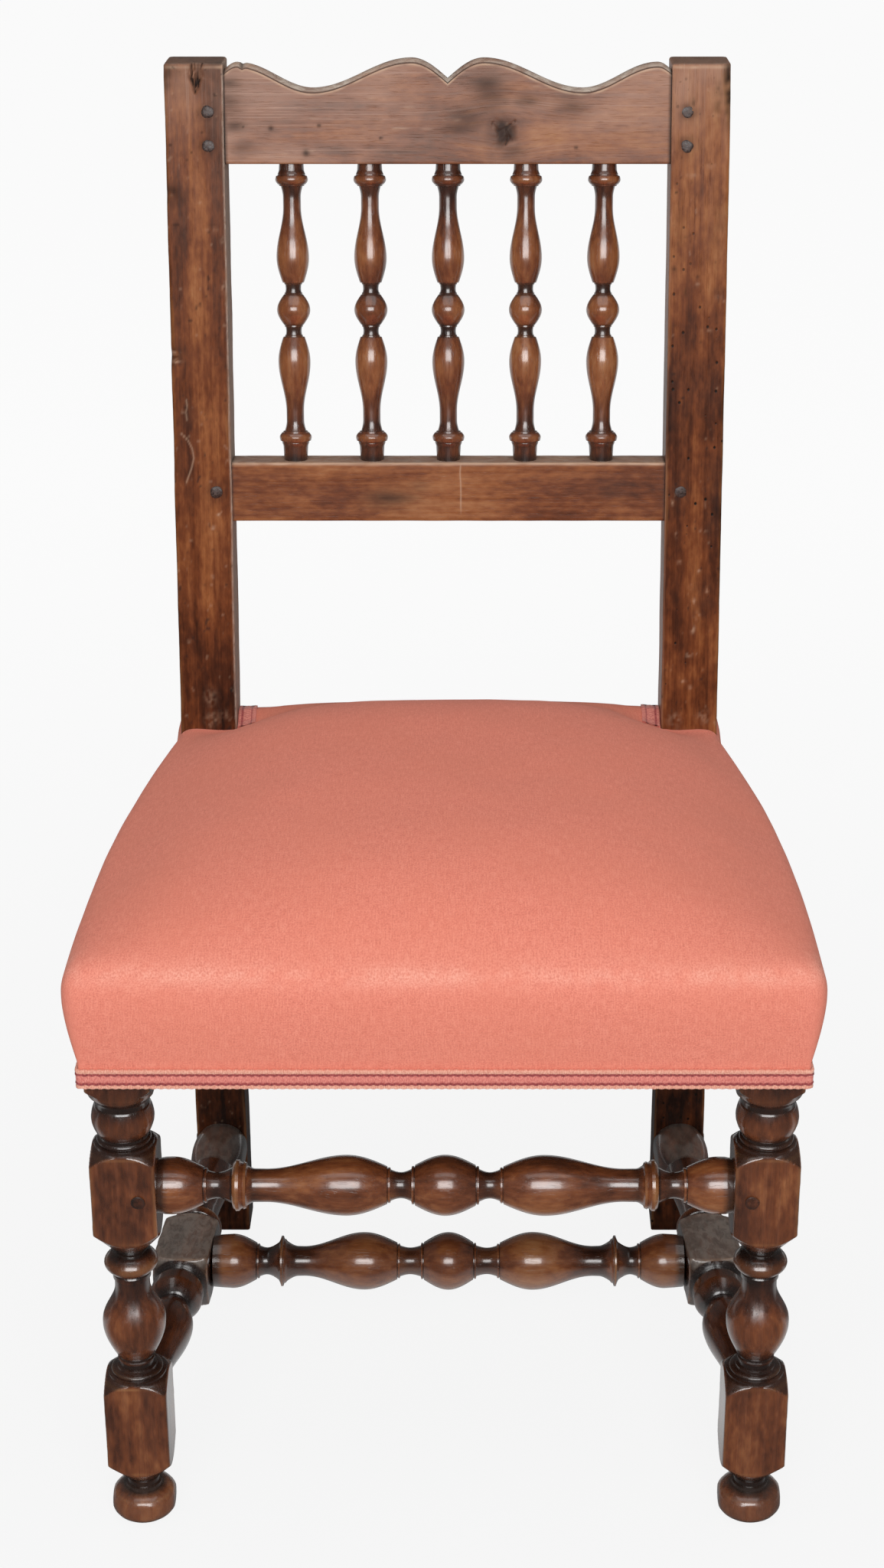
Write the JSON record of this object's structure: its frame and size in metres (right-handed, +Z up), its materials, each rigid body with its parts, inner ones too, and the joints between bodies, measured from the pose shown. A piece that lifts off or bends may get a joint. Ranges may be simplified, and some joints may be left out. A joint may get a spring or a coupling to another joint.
{
  "type": "louis xiii chair",
  "caption": "Joined side chair with turned front legs and H stretcher, a raked back of turned spindles under a shaped crest, and a crowned upholstered seat edged with braid.",
  "frame": {"origin": "on the floor, below the middle of the chair's bounding box", "axes": "+Z up; the front of the chair faces -Y; +X is to the right of someone who looks at its front"},
  "size_m": [0.495, 0.5345, 0.9519],
  "materials": {
    "walnut": "waxed, worn to a soft gloss",
    "peg_wood": "dark end grain, waxed",
    "rail_wood": "sawn, unfinished",
    "cover_cloth": "matt, close weave",
    "gimp_braid": "matt, braided",
    "web_jute": "coarse weave",
    "base_linen": "coarse weave",
    "stuffing_fibre": "loose fibre",
    "dust_cloth": "matt, plain weave"
  },
  "bodies": {
    "root": {"base_cloth": "base_linen", "crest_peg_left_1": "peg_wood", "crest_peg_left_2": "peg_wood", "crest_peg_right_1": "peg_wood", "crest_peg_right_2": "peg_wood", "crest_rail": "walnut", "cross_stretcher": "walnut", "cross_stretcher_peg_left": "peg_wood", "cross_stretcher_peg_right": "peg_wood", "dust_cover": "dust_cloth", "front_leg_left": "walnut", "front_leg_right": "walnut", "front_stretcher": "walnut", "front_stretcher_peg_left": "peg_wood", "front_stretcher_peg_right": "peg_wood", "lower_back_rail": "walnut", "lower_rail_peg_left": "peg_wood", "lower_rail_peg_right": "peg_wood", "seat_cover": "cover_cloth", "seat_gimp": "gimp_braid", "seat_peg_left_back": "peg_wood", "seat_peg_left_front": "peg_wood", "seat_peg_left_side_front": "peg_wood", "seat_peg_left_side_rear": "peg_wood", "seat_peg_right_back": "peg_wood", "seat_peg_right_front": "peg_wood", "seat_peg_right_side_front": "peg_wood", "seat_peg_right_side_rear": "peg_wood", "seat_rail_back": "rail_wood", "seat_rail_front": "rail_wood", "seat_rail_left": "rail_wood", "seat_rail_right": "rail_wood", "seat_stuffing": "stuffing_fibre", "side_stretcher_left": "walnut", "side_stretcher_peg_left_front": "peg_wood", "side_stretcher_peg_left_rear": "peg_wood", "side_stretcher_peg_right_front": "peg_wood", "side_stretcher_peg_right_rear": "peg_wood", "side_stretcher_right": "walnut", "spindle_1": "walnut", "spindle_2": "walnut", "spindle_3": "walnut", "spindle_4": "walnut", "spindle_5": "walnut", "stile_gimp_left": "gimp_braid", "stile_gimp_right": "gimp_braid", "stile_left": "walnut", "stile_right": "walnut", "web_strap_cross_1": "web_jute", "web_strap_cross_2": "web_jute", "web_strap_cross_3": "web_jute", "web_strap_long_1": "web_jute", "web_strap_long_2": "web_jute", "web_strap_long_3": "web_jute"}
  },
  "joints": []
}
